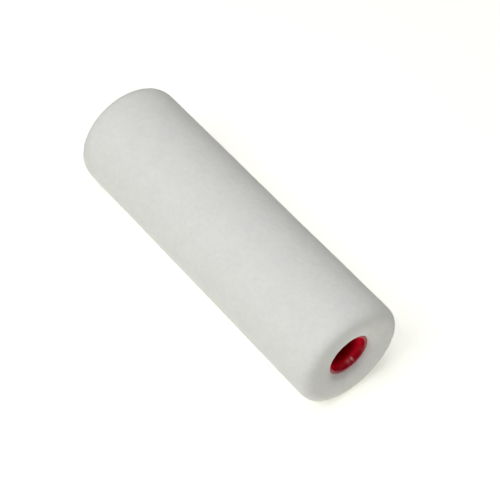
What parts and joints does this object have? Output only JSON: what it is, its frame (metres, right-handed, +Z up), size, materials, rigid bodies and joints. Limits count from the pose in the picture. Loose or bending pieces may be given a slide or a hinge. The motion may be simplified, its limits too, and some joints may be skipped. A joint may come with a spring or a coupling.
{
  "type": "paint roller",
  "caption": "Mini paint roller cover: a round flocked foam sleeve on a plastic core, with a red cap in each end and an inner bearing sleeve for a frame's wire.",
  "frame": {"origin": "middle of the roller, on its axis", "axes": "+Y along the roller's axis from the open front end to the closed rear end, +Z up when it lies on its side"},
  "size_m": [0.0348, 0.1116, 0.0348],
  "materials": {
    "flock": "short white nap, matt",
    "foam": "open-cell foam, matt",
    "adhesive": "hot-melt film",
    "core": "extruded, natural",
    "cap": "moulded red, glossy",
    "bearing": "moulded darker red, satin"
  },
  "bodies": {
    "spindle": {"bearing_sleeve": "bearing"},
    "roller": {"flock_nap": "flock", "foam_sleeve": "foam", "adhesive_film": "adhesive", "core_tube": "core", "front_end_cap": "cap", "rear_end_cap": "cap"}
  },
  "joints": [
    {"name": "roller_spin", "type": "hinge", "parent": "spindle", "child": "roller", "pos_m": [0, 0, 0], "axis": [0, 1, 0], "continuous": true}
  ]
}
